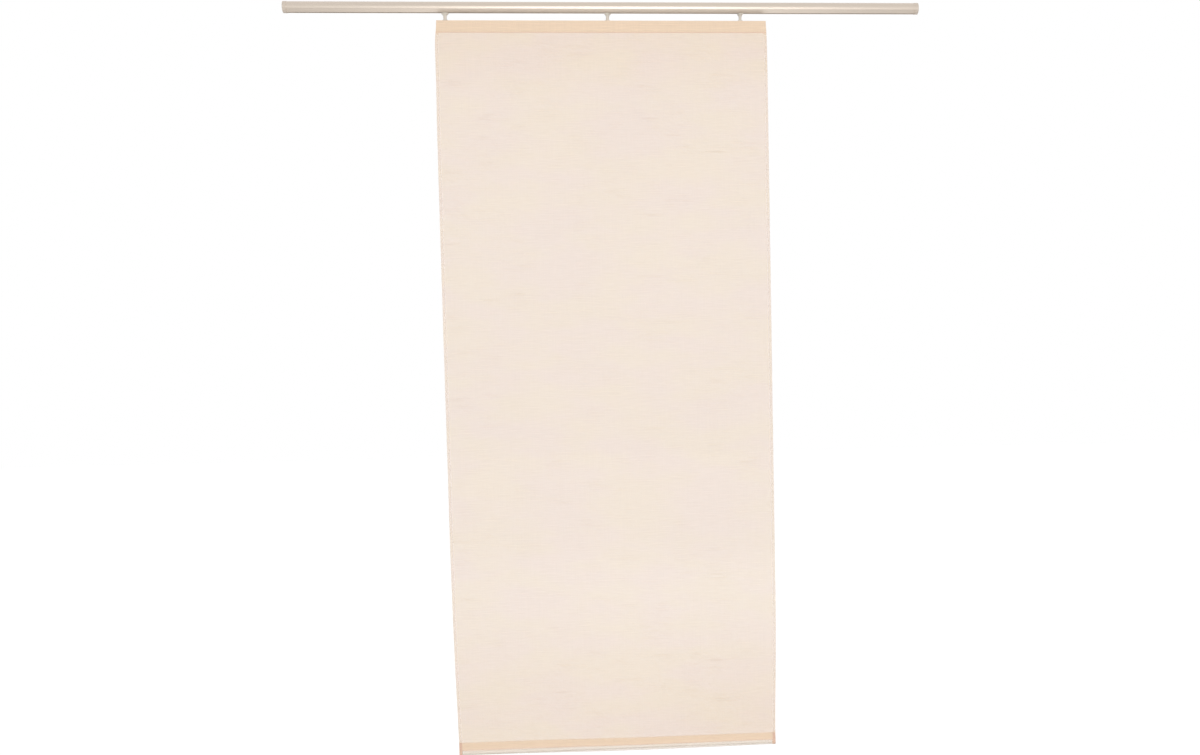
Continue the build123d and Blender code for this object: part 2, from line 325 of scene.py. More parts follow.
class ShaderDraft:
    """A node tree while it is drawn up."""

    def __init__(self, tree: bpy.types.NodeTree) -> None:
        """Takes the tree that the nodes go into."""
        self.tree = tree

    def node(self, kind: str, **settings: object) -> bpy.types.Node:
        """Adds a node and sets its own properties."""
        made = self.tree.nodes.new(kind)
        for key, value in settings.items():
            setattr(made, key, value)
        return made

    def feed(self, socket: bpy.types.NodeSocket, value: object) -> None:
        """Links a socket to another, or sets its value."""
        if isinstance(value, bpy.types.NodeSocket):
            self.tree.links.new(value, socket)
        elif isinstance(value, tuple) and len(value) == 3 and socket.type == "RGBA":
            socket.default_value = (*value, 1.0)
        else:
            socket.default_value = value

    def fill(self, node: bpy.types.Node, values: dict[str, object]) -> None:
        """Feeds several inputs of a node by their names."""
        for name, value in values.items():
            self.feed(node.inputs[name], value)

    def place(self) -> bpy.types.NodeSocket:
        """The place on the piece, in metres."""
        return self.node("ShaderNodeTexCoord").outputs["Object"]

    def maths(self, operation: str, *values: object) -> bpy.types.NodeSocket:
        """Works out one sum of up to three values."""
        made = self.node("ShaderNodeMath", operation=operation)
        for socket, value in zip(made.inputs, values):
            self.feed(socket, value)
        return made.outputs[0]

    def times(self, first: object, second: object) -> bpy.types.NodeSocket:
        """Multiplies two values."""
        return self.maths("MULTIPLY", first, second)

    def plus(self, first: object, second: object) -> bpy.types.NodeSocket:
        """Adds two values."""
        return self.maths("ADD", first, second)

    def about_zero(self, value: object, amount: object) -> bpy.types.NodeSocket:
        """Moves a value from around a half to around zero, then scales it."""
        return self.times(self.maths("SUBTRACT", value, 0.5), amount)

    def spread(
        self, value: object, low: float, high: float, start: float, end: float
    ) -> bpy.types.NodeSocket:
        """Maps a value's range smoothly from low..high to start..end, and holds it there."""
        made = self.node("ShaderNodeMapRange", interpolation_type="SMOOTHSTEP")
        for socket, number in zip(made.inputs, (value, low, high, start, end)):
            self.feed(socket, number)
        return made.outputs[0]

    def mix(
        self, share: object, first: object, second: object, blend: str = "MIX"
    ) -> bpy.types.NodeSocket:
        """Mixes two colours."""
        made = self.node("ShaderNodeMix", data_type="RGBA", blend_type=blend)
        self.feed(made.inputs["Factor"], share)
        self.feed(made.inputs[6], first)
        self.feed(made.inputs[7], second)
        return made.outputs[2]

    def stretched(self, place: object, scale: Triple) -> bpy.types.NodeSocket:
        """Scales a place by a different amount along each axis."""
        made = self.node("ShaderNodeVectorMath", operation="MULTIPLY")
        self.feed(made.inputs[0], place)
        made.inputs[1].default_value = scale
        return made.outputs[0]

    def choose(self, share: object, first: object, second: object) -> bpy.types.NodeSocket:
        """Mixes two values."""
        made = self.node("ShaderNodeMix")
        for index, value in ((0, share), (2, first), (3, second)):
            self.feed(made.inputs[index], value)
        return made.outputs[0]

    def noise(self, place: object, scale: object, detail: float = 2.0) -> bpy.types.NodeSocket:
        """Soft random values from 0 to 1 over a place."""
        made = self.node("ShaderNodeTexNoise")
        self.fill(made, {"Vector": place, "Scale": scale, "Detail": detail})
        return made.outputs[0]

    def streaks(self, place: object, scale: Triple, detail: float) -> bpy.types.NodeSocket:
        """Noise with a different scale along each axis."""
        return self.noise(self.stretched(place, scale), 1.0, detail)

    def bump(self, height: object, distance: float, strength: float) -> bpy.types.NodeSocket:
        """Turns a height into a normal, where distance is the height of 1 in metres."""
        made = self.node("ShaderNodeBump")
        self.fill(made, {"Strength": strength, "Distance": distance, "Height": height})
        return made.outputs[0]

    def axes(self, place: object) -> bpy.types.NodeOutputs:
        """A place's X, Y and Z."""
        parts = self.node("ShaderNodeSeparateXYZ")
        self.feed(parts.inputs[0], place)
        return parts.outputs


class Effect(Enum):
    """Surface effects that several finishes share. Each value is its node group's name."""

    WEAVE = "Slub weave"
    DRAWN = "Drawn lines"
    GRAIN = "Moulded grain"
    PILE = "Tape pile"

    def group(self) -> bpy.types.NodeTree:
        """The effect's node group, made when it is first asked for."""
        found = bpy.data.node_groups.get(self.value)
        if found is None:
            found = bpy.data.node_groups.new(self.value, "ShaderNodeTree")
            EFFECT_BUILDERS[self](found)
        return found


def open_group(
    tree: bpy.types.NodeTree, takes: dict[str, float], gives: list[str]
) -> tuple[ShaderDraft, dict[str, bpy.types.NodeSocket], bpy.types.Node]:
    """Gives a group its sockets: a place, and the numbers that it takes and gives.

    Args:
        tree: The group's node tree.
        takes: The value of each number that it takes, by name.
        gives: The names of its outputs, which are all numbers.

    Returns:
        The draft, what the group is given by name, and the node for its outputs.
    """
    tree.interface.new_socket("Place", in_out="INPUT", socket_type="NodeSocketVector")
    for name, value in takes.items():
        socket = tree.interface.new_socket(name, in_out="INPUT", socket_type="NodeSocketFloat")
        socket.default_value = value
    for name in gives:
        tree.interface.new_socket(name, in_out="OUTPUT", socket_type="NodeSocketFloat")
    draft = ShaderDraft(tree)
    sockets = draft.node("NodeGroupInput").outputs
    return draft, {name: sockets[name] for name in ("Place", *takes)}, draft.node("NodeGroupOutput")


def build_weave(tree: bpy.types.NodeTree) -> None:
    """Voile of fine warp threads and uneven weft threads with slubs.

    Slubs are noise drawn out across the cloth, in groups. Finer noise drawn out both ways gives
    single threads, and two sine waves at right angles give the over and under of the weave.
    """
    draft, given, out = open_group(
        tree, {"Thread": 0.00055}, ["Tone", "Cover", "Height", "Patch"]
    )
    place = given["Place"]
    weft = draft.streaks(place, (34.0, 780.0, 1.0), 3.0)
    warp = draft.streaks(place, (900.0, 14.0, 1.0), 1.0)
    cloud = draft.streaks(place, (5.0, 3.2, 1.0), 2.0)
    patch = draft.streaks(place, (7.0, 16.0, 1.0), 3.0)
    slub = draft.spread(draft.streaks(place, (17.0, 330.0, 1.0), 3.0), 0.52, 0.72, 0.0, 1.0)
    group = draft.spread(draft.streaks(place, (9.0, 22.0, 1.0), 2.0), 0.38, 0.62, 0.25, 1.3)
    slub = draft.times(draft.times(slub, group), draft.spread(weft, 0.3, 0.7, 0.45, 1.4))
    across, down, _ = draft.axes(place)
    turns = draft.maths("DIVIDE", 2 * math.pi, given["Thread"])
    over, under = (draft.maths("SINE", draft.times(way, turns)) for way in (across, down))
    tone = draft.maths("MULTIPLY_ADD", slub, -0.06, 1.0)
    for source, amount in ((weft, 0.10), (warp, 0.03), (cloud, 0.04)):
        tone = draft.plus(tone, draft.about_zero(source, amount))
    threads = draft.plus(draft.times(slub, 0.6), draft.times(weft, 0.5))
    results = {
        "Tone": tone,
        "Cover": draft.plus(threads, draft.times(warp, 0.2)),
        "Height": draft.plus(threads, draft.times(draft.times(over, under), 0.12)),
        "Patch": draft.spread(patch, 0.35, 0.65, 0.0, 1.0),
    }
    draft.fill(out, results)


def build_drawn(tree: bpy.types.NodeTree) -> None:
    """Fine lines along X that the die leaves on an extrusion, with faint handling marks."""
    draft, given, out = open_group(tree, {}, ["Tone", "Rough", "Height"])
    place = given["Place"]
    lines = draft.maths("SUBTRACT", draft.streaks(place, (1.6, 2600.0, 2600.0), 2.0), 0.5)
    marks = draft.spread(draft.streaks(place, (60.0, 420.0, 420.0), 4.0), 0.6, 0.75, 0.0, 1.0)
    cloud = draft.noise(place, 9.0)
    tone = draft.plus(draft.times(lines, 0.10), draft.times(cloud, 0.05))
    rough = draft.plus(draft.times(lines, 0.10), draft.times(marks, 0.05))
    draft.fill(out, {"Tone": draft.plus(tone, 0.975), "Rough": rough, "Height": lines})


def build_grain(tree: bpy.types.NodeTree) -> None:
    """The fine spark-eroded grain and slight flow shading of a moulded part."""
    draft, given, out = open_group(tree, {"Scale": 2500.0}, ["Tone", "Rough", "Height"])
    grain = draft.noise(given["Place"], given["Scale"], 3.0)
    tone = draft.plus(draft.times(draft.noise(given["Place"], 120.0), 0.06), 0.96)
    draft.fill(out, {"Tone": tone, "Rough": draft.about_zero(grain, 0.12), "Height": grain})


def build_pile(tree: bpy.types.NodeTree) -> None:
    """The tape's ground weave, with rows of loops or hooks standing on it."""
    draft, given, out = open_group(tree, {"Row": 0.0014}, ["Tone", "Height"])
    along, _, up = draft.axes(given["Place"])
    turns = draft.maths("DIVIDE", 2 * math.pi, given["Row"])
    across, rising = (draft.maths("SINE", draft.times(way, turns)) for way in (along, up))
    fuzz = draft.noise(given["Place"], 1400.0, 3.0)
    height = draft.plus(draft.times(draft.times(across, rising), 0.3), fuzz)
    draft.fill(out, {"Tone": draft.plus(draft.times(height, 0.12), 0.9), "Height": height})


EFFECT_BUILDERS = {
    Effect.WEAVE: build_weave,
    Effect.DRAWN: build_drawn,
    Effect.GRAIN: build_grain,
    Effect.PILE: build_pile,
}


@dataclass(frozen=True)
class Finish:
    """What a piece is dressed in. Each kind of finish draws its own shader."""

    name: str
    colour: Colour
    roughness: float

    def material(self) -> bpy.types.Material:
        """The finish's material, made when it is first asked for."""
        found = bpy.data.materials.get(self.name)
        if found is None:
            found = bpy.data.materials.new(self.name)
            found.use_nodes = True
            tree = found.node_tree
            self.dress(ShaderDraft(tree), tree.nodes["Principled BSDF"])
        return found

    def dress(self, draft: ShaderDraft, shader: bpy.types.Node) -> None:
        """Sets the shader up. Each kind of finish has its own way."""
        raise NotImplementedError

    def effect(
        self, draft: ShaderDraft, kind: Effect, place: object, **values: float
    ) -> bpy.types.Node:
        """Adds a shared effect.

        Args:
            draft: The material's tree.
            kind: Which effect.
            place: The socket that gives the place on the surface.
            **values: The effect's other inputs, by name.

        Returns:
            The group's node.
        """
        made = draft.node("ShaderNodeGroup", node_tree=kind.group())
        draft.fill(made, {"Place": place, **values})
        return made

    def toned(self, draft: ShaderDraft, tone: bpy.types.NodeSocket) -> bpy.types.NodeSocket:
        """The finish's colour, made darker or lighter by the tone."""
        return draft.mix(1.0, self.colour, tone, "MULTIPLY")


@dataclass(frozen=True)
class MetalFinish(Finish):
    """Anodised or coated metal with die lines along X."""

    metallic: float = 1.0
    line_depth: float = 0.00002

    def dress(self, draft: ShaderDraft, shader: bpy.types.Node) -> None:
        """Metal whose colour, roughness and height follow its die lines."""
        lines = self.effect(draft, Effect.DRAWN, draft.place()).outputs
        values = {
            "Base Color": self.toned(draft, lines["Tone"]),
            "Metallic": self.metallic,
            "Roughness": draft.plus(lines["Rough"], self.roughness),
            "Normal": draft.bump(lines["Height"], self.line_depth, 0.4),
        }
        draft.fill(shader, values)


@dataclass(frozen=True)
class PlasticFinish(Finish):
    """Moulded plastic, more or less milky."""

    milky: float = 0.0
    grain: float = 2500.0

    def dress(self, draft: ShaderDraft, shader: bpy.types.Node) -> None:
        """Plastic with a fine moulded grain, and light inside it where it is milky."""
        grain = self.effect(draft, Effect.GRAIN, draft.place(), Scale=self.grain).outputs
        values = {
            "Base Color": self.toned(draft, grain["Tone"]),
            "Roughness": draft.plus(grain["Rough"], self.roughness),
            "Normal": draft.bump(grain["Height"], 0.00003, 0.3),
            "Subsurface Weight": self.milky,
            "Subsurface Radius": (1.0, 0.9, 0.8),
            "Subsurface Scale": 0.003,
        }
        draft.fill(shader, values)


@dataclass(frozen=True)
class VoileFinish(Finish):
    """Thin slub voile that lets some of what is behind it show."""

    deep_colour: Colour = (0.8, 0.5, 0.3)  # where it is folded
    shade_line_colour: Colour = (0.7, 0.5, 0.3)  # painted shade along its creases and seams
    warm_colour: Colour = (0.8, 0.6, 0.4)  # of the patches that take the dye a little differently
    cover: float = 0.31
    cover_spread: float = 0.09
    passed: float = 0.7  # the share of its cover that lets scattered light through

    def dress(self, draft: ShaderDraft, shader: bpy.types.Node) -> None:
        """Cloth whose threads give its colour, its cover and its height.

        Threads also scatter light onward, so a ray that only carries light meets less cover than
        one that is looked along.
        """
        place = draft.node("ShaderNodeUVMap", uv_map=FLAT_MAP).outputs["UV"]
        weave = self.effect(draft, Effect.WEAVE, place).outputs
        doubled, share = (
            draft.node("ShaderNodeAttribute", attribute_name=name).outputs["Fac"]
            for name in (DEPTH, COVER)
        )
        colour = draft.mix(weave["Patch"], self.colour, self.warm_colour)
        colour = draft.mix(draft.spread(doubled, 0.0, 0.5, 0.0, 1.0), colour, self.deep_colour)
        # Painted shade: the darker colour of the lines along creases and seams, where depth is over a
        # half
        colour = draft.mix(draft.spread(doubled, 0.5, 1.0, 0.0, 1.0), colour, self.shade_line_colour)
        threads = draft.maths("MULTIPLY_ADD", weave["Cover"], self.cover_spread, self.cover)
        path = draft.node("ShaderNodeLightPath").outputs
        carried = draft.maths("MAXIMUM", path["Is Shadow Ray"], path["Is Diffuse Ray"])
        kept = draft.maths("SUBTRACT", 1.0, draft.times(carried, self.passed))
        values = {
            "Base Color": draft.mix(1.0, colour, weave["Tone"], "MULTIPLY"),
            "Alpha": draft.times(draft.times(threads, share), kept),
            "Normal": draft.bump(weave["Height"], 0.00012, 0.35),
            "Roughness": self.roughness,
            "Specular IOR Level": 0.15,
            "Sheen Weight": 0.1,
            "Sheen Roughness": 0.5,
        }
        draft.fill(shader, values)


@dataclass(frozen=True)
class TapeFinish(Finish):
    """Woven tape or sewing thread."""

    row: float = 0.0014
    relief: float = 0.0001
    cover: float = 1.0  # under 1 where light passes, as through a fine clear thread

    def dress(self, draft: ShaderDraft, shader: bpy.types.Node) -> None:
        """Textile with small regular rows."""
        pile = self.effect(draft, Effect.PILE, draft.place(), Row=self.row).outputs
        values = {
            "Base Color": self.toned(draft, pile["Tone"]),
            "Normal": draft.bump(pile["Height"], self.relief, 0.5),
            "Roughness": self.roughness,
            "Specular IOR Level": 0.2,
            "Sheen Weight": 0.15,
            "Alpha": self.cover,
        }
        draft.fill(shader, values)


CHAMPAGNE = MetalFinish("champagne rod", linear(219, 206, 192), 0.34, metallic=0.5)
CHAMPAGNE_CAP = MetalFinish(
    "champagne end cap", linear(217, 204, 190), 0.38, metallic=0.45, line_depth=0.000008
)
MILKY_WHITE = PlasticFinish("milky glider plastic", linear(229, 221, 209), 0.36, milky=0.25)
PLAIN_WHITE = PlasticFinish("white fitting plastic", linear(238, 236, 231), 0.38)
PALE_ALUMINIUM = MetalFinish("pale carrier aluminium", linear(228, 228, 226), 0.34)
COATED_STEEL = MetalFinish("coated bar", linear(246, 243, 236), 0.30, metallic=0.0)
VOILE = VoileFinish(
    "slub voile",
    linear(245, 217, 196),
    0.86,
    deep_colour=linear(255, 230, 203),
    # the painted shade colour of its creases and seams
    shade_line_colour=linear(243, 208, 186),
    warm_colour=linear(246, 220, 189),
)
SEWING_THREAD = TapeFinish(
    "sewing thread", linear(255, 246, 236), 0.75, row=0.0004, relief=0.00001, cover=0.4
)
LOOP_PILE = TapeFinish("loop tape", linear(240, 226, 208), 0.9, row=0.0011)
HOOK_PILE = TapeFinish("hook tape", linear(242, 236, 226), 0.6, row=0.0016)


# ---- The rod and what runs in it


@dataclass
class Rod:
    """The extruded rod: round above, with a shoulder, two facets and a slotted track below."""

    radius: float = 10.0
    wall: float = 1.2
    shoulder: float = 28.0  # degrees below the horizontal
    step: float = 0.6
    lip_z: float = -9.4
    lip_half: float = 3.1
    slot_half: float = 2.6
    track_half: float = 5.6
    track_floor: float = -6.4
    track_roof: float = -2.4
    bevel: float = 1.2
    crown_points: int = 97

    def outline(self) -> np.ndarray:
        """The outer loop: over the crown, down one side, round the track and up the other."""
        low = math.radians(self.shoulder)
        angles = np.linspace(-low, math.pi + low, self.crown_points)[1:-1]
        crown = self.radius * np.stack([np.cos(angles), np.sin(angles)], 1)
        edge = self.radius * np.array([-math.cos(low), -math.sin(low)])
        half = np.array(
            [
                edge,
                edge * (1 - self.step / self.radius),
                (-self.lip_half, self.lip_z),
                (-self.slot_half, self.lip_z),
                (-self.slot_half, self.track_floor),
                (self.bevel - self.track_half, self.track_floor),
                (-self.track_half, self.track_floor + self.bevel),
                (-self.track_half, self.track_roof),
            ]
        )
        under = np.concatenate([half, half[::-1] * (-1, 1)])
        radii = np.array([0.15, 0.2, 0.25, 0.2, 0.15, 0.3, 0.3, 0.3])
        whole = np.concatenate([crown[-1:], under, crown[:1]])
        turned = rounded(whole, np.concatenate([[0], radii, radii[::-1], [0]]), 5, closed=False)
        return np.concatenate([crown, turned[1:-1]])

    def chamber(self) -> np.ndarray:
        """The closed hollow over the track: a circle cut off flat below."""
        inner = self.radius - self.wall
        dip = math.asin((self.track_roof + self.wall) / inner)
        angles = np.linspace(dip, math.pi - dip, 65)
        return inner * np.stack([np.cos(angles), np.sin(angles)], 1)

    def build(self) -> bpy.types.Object:
        """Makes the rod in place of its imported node."""
        low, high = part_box("rod_tube")
        skin = Skin()
        add_extrusion(skin, [self.outline(), self.chamber()], low.x / MM, high.x / MM)
        piece = skin.build("rod", CHAMPAGNE, smooth=25.0)
        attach(piece, "rod")
        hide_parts("rod_tube")
        return piece


@dataclass
class Glider:
    """A moulded glider: round head, neck, funnel collar, stem and a split pin."""

    side: str
    turn: float  # degrees
    around: int = 64
    slit_half: float = 0.35
    # Height, half width and half depth of each section, from the head's top to the pin's slit
    sections: Table = (
        (-3.50, 4.50, 4.50),
        (-3.55, 4.84, 4.84),
        (-3.76, 5.09, 5.09),
        (-4.10, 5.20, 5.20),
        (-5.02, 5.20, 5.20),
        (-5.22, 5.10, 5.10),
        (-6.15, 4.16, 4.16),
        (-6.30, 3.90, 3.90),
        (-6.30, 2.60, 2.60),
        (-6.45, 2.25, 2.25),
        (-6.80, 2.10, 2.10),
        (-9.40, 2.10, 2.10),
        (-9.70, 2.25, 2.25),
        (-9.80, 2.60, 2.55),
        (-9.80, 6.80, 4.05),
        (-9.86, 7.08, 4.32),
        (-10.06, 7.23, 4.47),
        (-10.40, 7.25, 4.50),
        (-10.80, 7.20, 4.46),
        (-11.10, 6.98, 4.36),
        (-11.60, 6.45, 4.16),
        (-12.20, 5.72, 3.84),
        (-12.90, 4.95, 3.50),
        (-13.60, 4.32, 3.20),
        (-14.40, 3.78, 2.88),
        (-15.30, 3.35, 2.58),
        (-16.20, 3.12, 2.42),
        (-18.00, 3.05, 2.37),
        (-20.90, 3.08, 2.39),
        (-21.45, 3.02, 2.34),
        (-21.70, 2.80, 2.15),
        (-21.70, 1.80, 1.80),
        (-21.85, 1.65, 1.65),
        (-25.90, 1.65, 1.65),
    )
    # The same for each half of the pin, down to its barb
    prong: Table = (
        (-25.80, 1.65, 1.65),
        (-29.70, 1.65, 1.65),
        (-29.82, 2.05, 2.05),
        (-29.95, 2.20, 2.20),
        (-30.50, 1.75, 1.75),
        (-30.90, 1.30, 1.30),
    )

    def rings(self) -> np.ndarray:
        """The whole ellipses at the sections' heights."""
        return self.ellipses(self.sections, np.linspace(0, 2 * np.pi, self.around, endpoint=False))

    def half_rings(self, way: int) -> np.ndarray:
        """One half of the pin: each ellipse's arc on one side of the slit, closed by a straight edge.

        The arc starts where b sin t is half of the slit and ends the same way at its other side.
        """
        start = np.arcsin(self.slit_half / np.array(self.prong)[:, 2:3])
        angle = start + (np.pi - 2 * start) * np.linspace(0, 1, self.around // 2)
        return self.ellipses(self.prong, angle) * (1, way, 1)

    def ellipses(self, table: Table, angle: np.ndarray) -> np.ndarray:
        """Points at angles t round the ellipse of each row: x = a cos t and y = b sin t."""
        z, a, b = (np.array(table)[:, k : k + 1] for k in range(3))
        x = a * np.cos(angle)
        return np.stack([x, b * np.sin(angle), np.broadcast_to(z, x.shape)], -1)

    def build(self) -> bpy.types.Object:
        """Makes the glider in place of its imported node, turned as that is."""
        low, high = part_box(f"glider_{self.side}")
        turn = math.radians(self.turn)
        cosine, sine = math.cos(turn), math.sin(turn)
        spin = np.array([[cosine, sine, 0], [-sine, cosine, 0], [0, 0, 1]])
        shift = np.array([(low.x + high.x) / 2 / MM, 0, 0])
        skin = Skin()
        skin.add_tube(self.rings() @ spin + shift)
        for way in (-1, 1):
            skin.add_tube(self.half_rings(way) @ spin + shift)
        piece = skin.build(f"glider_body_{self.side}", MILKY_WHITE)
        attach(piece, f"glider_{self.side}")
        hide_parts(f"glider_{self.side}")
        return piece


@dataclass
class Carrier:
    """The bar behind the header: a channel open along its top, with a plate and a bead below it."""

    half: float = 5.7
    top: float = -25.8
    wall: float = 1.2
    channel_half: float = 4.5
    channel_roof: float = -27.0
    channel_floor: float = -31.4
    slot_half: float = 3.2
    foot: float = -45.8
    bead: float = 2.6

    def outline(self) -> np.ndarray:
        """The section's one loop, anticlockwise from the top of its back."""
        under = self.channel_floor - self.wall
        plate_back = self.wall - self.half
        bead_back = self.bead - self.half
        corners = [
            (self.half, self.top),
            (self.slot_half, self.top),
            (self.slot_half, self.channel_roof),
            (self.channel_half, self.channel_roof),
            (self.channel_half, self.channel_floor),
            (-self.channel_half, self.channel_floor),
            (-self.channel_half, self.channel_roof),
            (-self.slot_half, self.channel_roof),
            (-self.slot_half, self.top),
            (-self.half, self.top),
            (-self.half, self.foot),
            (bead_back, self.foot),
            (bead_back, self.foot + self.wall),
            (plate_back, self.foot + self.wall),
            (plate_back, under),
            (self.half, under),
        ]
        radii = [0.6, 0.3, 0.2, 0.2, 0.2, 0.2, 0.2, 0.2, 0.3, 0.3, 0.3, 0.4, 0.4, 0.3, 0.3, 0.6]
        return rounded(np.array(corners), np.array(radii), 4)

    def build(self) -> bpy.types.Object:
        """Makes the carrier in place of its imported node."""
        low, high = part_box("carrier_bar")
        skin = Skin()
        add_extrusion(skin, [self.outline()], low.x / MM, high.x / MM)
        piece = skin.build("carrier", PALE_ALUMINIUM, smooth=25.0)
        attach(piece, "panel")
        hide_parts("carrier_bar")
        return piece


@dataclass
class Tape:
    """One of the two tapes that hold the header on the carrier, with its pile on one face."""

    node: str
    pile_way: int  # which way the pile faces along Y
    finish: TapeFinish
    pitch: float = 2.0
    edge: float = 0.22
    relief: float = 0.16
    selvedge: float = 0.12  # how deep its selvedges' wave is
    selvedge_rate: float = 2.1  # radians per millimetre
    seed: int = 5

    def build(self) -> bpy.types.Object:
        """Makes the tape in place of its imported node.

        Its section is a rounded oblong, carried along X. The pile's face is pressed in by a random
        amount at each point, and its selvedges by a small wave.
        """
        low, high = (np.array(corner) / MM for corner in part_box(self.node))
        corners = np.array([(high[1], low[2]), (high[1], high[2]), (low[1], high[2]), (low[1], low[2])])
        loop = rounded(corners, np.full(4, self.edge), 3)
        loop = divided(np.concatenate([loop, loop[:1]]), 1.0)[:-1]
        count = int((high[0] - low[0]) / self.pitch)
        x = np.linspace(low[0], high[0], count)
        rings = np.empty((count, len(loop), 3))
        rings[..., 0] = x[:, None]
        rings[..., 1:] = loop[None]
        rough = np.random.default_rng(self.seed).random((count, len(loop)))
        face = high[1] if self.pile_way > 0 else low[1]
        on_pile = np.abs(loop[:, 0] - face) < 0.01
        rings[..., 1] -= self.pile_way * self.relief * rough * on_pile[None]
        middle = (low[2] + high[2]) / 2
        wave = self.selvedge * (1 + np.sin(x * self.selvedge_rate)) * 0.5
        rings[..., 2] -= np.sign(loop[:, 1] - middle)[None] * wave[:, None]
        skin = Skin()
        skin.add_tube(rings)
        piece = skin.build(f"{self.node}_pile", self.finish, smooth=60.0)
        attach(piece, "panel")
        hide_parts(self.node)
        return piece


# ---- The cloth


@dataclass
class Cloth:
    """The voile panel, folded from one flat cut: side hems, a doubled header and a tunnel hem.

    The cut is first folded across its width and then along its length. A point of the cloth lies on
    the lengthwise path, moved along that path's side by as much as the widthwise path has risen.
    """

    middle: float = -7.0
    width: float = 600.0
    front: float = -8.9
    thickness: float = 0.22
    pitch: float = 0.25  # from one layer to the next
    side_hem: float = 5.0
    top: float = -25.0
    header: float = 21.5
    foot: float = -1384.0
    seam: float = -1360.0
    bar_y: float = -8.65
    bar_z: float = -1379.2
    bar_room: float = 4.45  # from the bar's axis to the middle of the cloth round it
    turning: float = 13.6  # the raw edge that is turned into the tunnel
    header_layers: int = 3  # pitches from the front to the header's inner edge
    tunnel_layers: int = 5  # and to the back of the tunnel's seam
    row_spacing: float = 8.0
    seam_spacing: float = 0.8  # of rows where the cloth is folded
    fine_below: float = 6.0  # how far below the header such rows go on
    fine_above: float = 4.0  # and above the tunnel
    stitch_rows: tuple[float, float] = (-29.2, -43.9)  # the heights of the header's two rows
    wave: float = 0.8
    quick_wave: float = 0.22  # the finer waves' share of the height of the slow ones
    edge_wave: float = 0.5
    fold_mark: Triple = (0.84, 0.022, 0.9)  # a faint crease at the upper right: place, width, depth
    longer: float = 2.4  # how much longer the cloth hangs on its right
    sag: float = 1.6  # of the tunnel below its bar
    droop: float = 4.0  # of the tunnel's empty left end
    seam_band: float = 13.0  # how far below the tunnel's seam the turned edge shows
    header_cover: float = 1.0  # how much closer the cloth covers in the doubled header
    tunnel_cover: float = 0.45
    corner_cover: float = 0.10  # more cover, and so darker, toward the lower right
    strain: float = 1.15  # how much less it covers over the bar
    drawn: float = 0.42  # the share less in the side hems
    cut: tuple[float, float] = (0.0, 0.0)  # the flat size in metres, known once the cloth is built
    # How much more the cloth covers, so that it looks darker, and from which to which drop it does so
    cover_rises: Table = ((0.20, 160.0, 15.0), (0.07, 420.0, 90.0), (0.19, 1020.0, 1350.0))
    # How far the left and the right side stand out from straight at each height
    sides: Table = (
        (-25.0, 0.0, 0.0),
        (-36.0, 0.7, 0.8),
        (-46.0, 1.6, 1.3),
        (-60.0, 3.8, 2.1),
        (-130.0, 3.8, 2.7),
        (-220.0, 4.8, 2.9),
        (-400.0, 5.1, 3.4),
        (-600.0, 5.2, 4.1),
        (-820.0, 5.1, 4.8),
        (-960.0, 5.3, 5.3),
        (-1060.0, 4.9, 5.7),
        (-1140.0, 4.1, 5.8),
        (-1220.0, 3.0, 4.7),
        (-1300.0, 1.2, 2.9),
        (-1350.0, 0.2, 2.2),
        (-1384.0, -0.6, 1.8),
    )
    # Height, half width and depth of each painted shade line along the cloth's creases and seams
    shade_lines: Table = (
        (-46.2, 1.0, 0.45),
        (-33.0, 1.2, 0.12),
        (-1366.0, 0.9, 0.15),
        (-1373.4, 0.9, 0.5),
    )

    def across(self) -> np.ndarray:
        """The widthwise path: X against the height above the cloth's face, with both side hems."""
        half, fold = self.width / 2, self.pitch / 2
        hem_edge = half - self.side_hem
        inner, outer = hem_edge - 0.9, hem_edge + 0.1
        right = np.array(
            [
                (inner, 0.0),
                (outer, 0.0),
                (half, 0.0),
                (half, self.pitch),
                (hem_edge, self.pitch),
            ]
        )
        corners = np.concatenate([right[::-1] * (-1, 1), right])
        path = rounded(corners, np.array([0, fold, fold, 0, 0, 0, 0, fold, fold, 0]), 3, closed=False)
        return divided(path, self.row_spacing)

    def along(self) -> np.ndarray:
        """The lengthwise path in Y and Z: header's inner edge, fold, front, tunnel and turning."""
        face = self.front + self.thickness / 2
        inner = face + self.header_layers * self.pitch
        fold = (inner - face) / 2
        hem, fine_top = self.top - self.header, self.top - self.header - self.fine_below
        fine_low = self.seam + self.fine_above
        # The front leaves the seam along a tangent to the circle round the bar
        lean = math.acos(self.bar_room / (self.seam - self.bar_z))
        touch_y = self.bar_y - self.bar_room * math.sin(lean)
        touch_z = self.bar_z + self.bar_room * math.cos(lean)
        low = self.bar_z - self.bar_room
        slope = (touch_y - face) / (touch_z - self.seam)
        corner = touch_y + slope * (low - touch_z)
        back = face + self.tunnel_layers * self.pitch
        back_corner = 2 * self.bar_y - corner
        corners = np.array(
            [
                (inner, hem),
                (inner, self.top),
                (face, self.top),
                (face, fine_top),
                (face, fine_low),
                (face, self.seam),
                (corner, low),
                (back_corner, low),
                (back, self.seam),
                (face + 2 * self.pitch, self.seam),
                (face + 2 * self.pitch, self.seam - self.turning),
            ]
        )
        radii = np.array([0, fold, fold, 0, 0, 12.0, self.bar_room, self.bar_room, 0.3, 0.3, 0])
        path = rounded(corners, radii, 12, closed=False)
        middle = (path[1:, 1] + path[:-1, 1]) / 2
        plain = (middle < fine_top) & (middle > fine_low)
        return divided(path, np.where(plain, self.row_spacing, self.seam_spacing))

